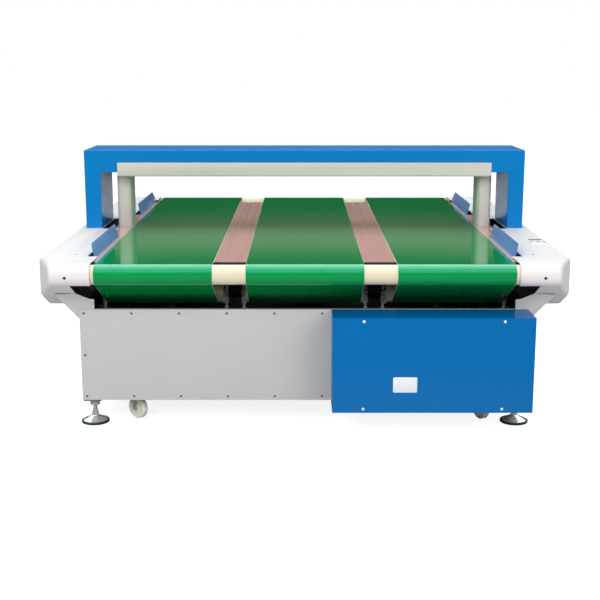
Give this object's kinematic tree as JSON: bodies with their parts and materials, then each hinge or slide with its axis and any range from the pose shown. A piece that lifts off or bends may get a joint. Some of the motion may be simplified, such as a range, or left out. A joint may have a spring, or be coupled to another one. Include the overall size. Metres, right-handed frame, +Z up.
{
  "type": "conveyor metal detector",
  "caption": "Wide free-standing conveyor metal detector: belts side by side run through one search portal, over a cabinet on casters and levelling feet.",
  "frame": {"origin": "on the floor under the middle of the machine's box", "axes": "+X across the belts to the right side, +Y along the belts from the control box end, +Z up"},
  "size_m": [2.316, 2.5299, 1.147],
  "materials": {
    "blue_paint": "satin powder coat",
    "white_paint": "fine textured powder coat",
    "grey_paint": "satin powder coat",
    "dark_paint": "satin paint",
    "cream_case": "satin cream paint",
    "belt_green": "smooth glossy belt",
    "roller_cream": "satin cream",
    "bed_brown": "glossy laminate with a fine grain",
    "zinc_steel": "zinc plated",
    "bearing_grey": "painted casting",
    "motor_grey": "die cast",
    "chain_steel": "oiled steel",
    "foot_chrome": "polished, on a black rubber rim",
    "wheel_cream": "cast nylon",
    "screw_steel": "plated",
    "screw_black": "black oxide",
    "screw_white": "white caps",
    "panel_plastic": "satin",
    "display_black": "glossy window",
    "key_grey": "satin",
    "inverter_black": "satin",
    "gland_black": "nylon"
  },
  "bodies": {
    "machine": {"base_frame": "dark_paint", "bed_board": "bed_brown", "bed_rails": "dark_paint", "belt_guards": "blue_paint", "cable_gland": "gland_black", "caster_plates": "zinc_steel", "centre_belt": "belt_green", "control_box": "blue_paint", "control_box_screws": "screw_white", "control_panel": "panel_plastic", "cover_screws": "screw_black", "display": "display_black", "drive_chain": "chain_steel", "foot_lock_nuts": "zinc_steel", "front_panel": "grey_paint", "gear_motor": "motor_grey", "inverter": "inverter_black", "left_belt": "belt_green", "left_cover": "white_paint", "left_side_panel": "grey_paint", "lower_probe": "cream_case", "panel_screws": "screw_steel", "portal_cover": "blue_paint", "probe_legs": "cream_case", "rear_panel": "grey_paint", "right_belt": "belt_green", "right_cover": "white_paint", "right_side_panel": "grey_paint", "rod_foot_rail": "dark_paint", "roller_bearings": "bearing_grey", "side_plates": "dark_paint", "tension_brackets": "dark_paint", "tension_rods": "zinc_steel", "upper_probe": "cream_case"},
    "front_roller": {"front_roller": "roller_cream"},
    "drive_drum": {"drive_drum": "roller_cream", "drum_sprocket": "chain_steel"},
    "rear_guide_roller": {"rear_guide_roller": "roller_cream"},
    "motor_shaft": {"motor_sprocket": "chain_steel"},
    "left_carriage": {"left_tension_carriage": "zinc_steel"},
    "left_tension_roller": {"left_tension_roller": "roller_cream"},
    "centre_carriage": {"centre_tension_carriage": "zinc_steel"},
    "centre_tension_roller": {"centre_tension_roller": "roller_cream"},
    "right_carriage": {"right_tension_carriage": "zinc_steel"},
    "right_tension_roller": {"right_tension_roller": "roller_cream"},
    "front_left_fork": {"front_left_caster_fork": "zinc_steel"},
    "front_left_wheel": {"front_left_caster_wheel": "wheel_cream"},
    "front_left_foot": {"front_left_foot": "foot_chrome"},
    "front_right_fork": {"front_right_caster_fork": "zinc_steel"},
    "front_right_wheel": {"front_right_caster_wheel": "wheel_cream"},
    "front_right_foot": {"front_right_foot": "foot_chrome"},
    "rear_left_fork": {"rear_left_caster_fork": "zinc_steel"},
    "rear_left_wheel": {"rear_left_caster_wheel": "wheel_cream"},
    "rear_left_foot": {"rear_left_foot": "foot_chrome"},
    "rear_right_fork": {"rear_right_caster_fork": "zinc_steel"},
    "rear_right_wheel": {"rear_right_caster_wheel": "wheel_cream"},
    "rear_right_foot": {"rear_right_foot": "foot_chrome"},
    "start_key": {"start_key": "key_grey"},
    "stop_key": {"stop_key": "key_grey"},
    "reset_key": {"reset_key": "key_grey"}
  },
  "joints": [
    {"name": "drum_spin", "type": "hinge", "parent": "machine", "child": "drive_drum", "pos_m": [0, 1.2137, 0.6997], "axis": [-1, 0, 0], "continuous": true, "deforming": ["drive_chain"]},
    {"name": "front_roller_spin", "type": "hinge", "parent": "machine", "child": "front_roller", "pos_m": [0, -1.1763, 0.6997], "axis": [-1, 0, 0], "continuous": true},
    {"name": "rear_guide_spin", "type": "hinge", "parent": "machine", "child": "rear_guide_roller", "pos_m": [0, 0.9337, 0.5647], "axis": [-1, 0, 0], "continuous": true},
    {"name": "motor_shaft_spin", "type": "hinge", "parent": "machine", "child": "motor_shaft", "pos_m": [1.026, 0.91276, 0.65204], "axis": [-1, 0, 0], "continuous": true},
    {"name": "left_tension_slide", "type": "slide", "parent": "machine", "child": "left_carriage", "axis": [0, 0, 1], "range_m": [0, 0.012]},
    {"name": "left_tension_spin", "type": "hinge", "parent": "left_carriage", "child": "left_tension_roller", "pos_m": [-0.628, -0.8963, 0.5647], "axis": [-1, 0, 0], "continuous": true},
    {"name": "centre_tension_slide", "type": "slide", "parent": "machine", "child": "centre_carriage", "axis": [0, 0, 1], "range_m": [0, 0.012]},
    {"name": "centre_tension_spin", "type": "hinge", "parent": "centre_carriage", "child": "centre_tension_roller", "pos_m": [0, -0.8963, 0.5647], "axis": [-1, 0, 0], "continuous": true},
    {"name": "right_tension_slide", "type": "slide", "parent": "machine", "child": "right_carriage", "axis": [0, 0, 1], "range_m": [0, 0.012]},
    {"name": "right_tension_spin", "type": "hinge", "parent": "right_carriage", "child": "right_tension_roller", "pos_m": [0.628, -0.8963, 0.5647], "axis": [-1, 0, 0], "continuous": true},
    {"name": "front_left_swivel", "type": "hinge", "parent": "machine", "child": "front_left_fork", "pos_m": [-0.779, -0.9663, 0.141], "axis": [0, 0, 1], "continuous": true},
    {"name": "front_left_wheel_spin", "type": "hinge", "parent": "front_left_fork", "child": "front_left_wheel", "pos_m": [-0.75221, -0.98723, 0.056], "axis": [0.6157, 0.788, 0], "continuous": true},
    {"name": "front_left_foot_screw", "type": "slide", "parent": "machine", "child": "front_left_foot", "axis": [0, 0, 1], "range_m": [-0.02, 0.012]},
    {"name": "front_right_swivel", "type": "hinge", "parent": "machine", "child": "front_right_fork", "pos_m": [0.779, -0.9663, 0.141], "axis": [0, 0, 1], "continuous": true},
    {"name": "front_right_wheel_spin", "type": "hinge", "parent": "front_right_fork", "child": "front_right_wheel", "pos_m": [0.79496, -0.99632, 0.056], "axis": [0.8829, 0.4695, 0], "continuous": true},
    {"name": "front_right_foot_screw", "type": "slide", "parent": "machine", "child": "front_right_foot", "axis": [0, 0, 1], "range_m": [-0.02, 0.012]},
    {"name": "rear_left_swivel", "type": "hinge", "parent": "machine", "child": "rear_left_fork", "pos_m": [-0.779, 1.0037, 0.141], "axis": [0, 0, 1], "continuous": true},
    {"name": "rear_left_wheel_spin", "type": "hinge", "parent": "rear_left_fork", "child": "rear_left_wheel", "pos_m": [-0.74705, 1.01533, 0.056], "axis": [-0.342, 0.9397, 0], "continuous": true},
    {"name": "rear_left_foot_screw", "type": "slide", "parent": "machine", "child": "rear_left_foot", "axis": [0, 0, 1], "range_m": [-0.02, 0.012]},
    {"name": "rear_right_swivel", "type": "hinge", "parent": "machine", "child": "rear_right_fork", "pos_m": [0.779, 1.0037, 0.141], "axis": [0, 0, 1], "continuous": true},
    {"name": "rear_right_wheel_spin", "type": "hinge", "parent": "rear_right_fork", "child": "rear_right_wheel", "pos_m": [0.80685, 0.9842, 0.056], "axis": [0.5736, 0.8192, 0], "continuous": true},
    {"name": "rear_right_foot_screw", "type": "slide", "parent": "machine", "child": "rear_right_foot", "axis": [0, 0, 1], "range_m": [-0.02, 0.012]},
    {"name": "start_key_press", "type": "slide", "parent": "machine", "child": "start_key", "axis": [0, 0, -1], "range_m": [0, 0.0015], "stiffness_N_per_m": 400},
    {"name": "stop_key_press", "type": "slide", "parent": "machine", "child": "stop_key", "axis": [0, 0, -1], "range_m": [0, 0.0015], "stiffness_N_per_m": 400},
    {"name": "reset_key_press", "type": "slide", "parent": "machine", "child": "reset_key", "axis": [0, 0, -1], "range_m": [0, 0.0015], "stiffness_N_per_m": 400}
  ],
  "couplings": [
    {"joint": "front_roller_spin", "follows": "drum_spin", "ratio": 1},
    {"joint": "rear_guide_spin", "follows": "drum_spin", "ratio": 1},
    {"joint": "motor_shaft_spin", "follows": "drum_spin", "ratio": 1.3333},
    {"joint": "left_tension_spin", "follows": "drum_spin", "ratio": 1},
    {"joint": "centre_tension_spin", "follows": "drum_spin", "ratio": 1},
    {"joint": "right_tension_spin", "follows": "drum_spin", "ratio": 1}
  ]
}
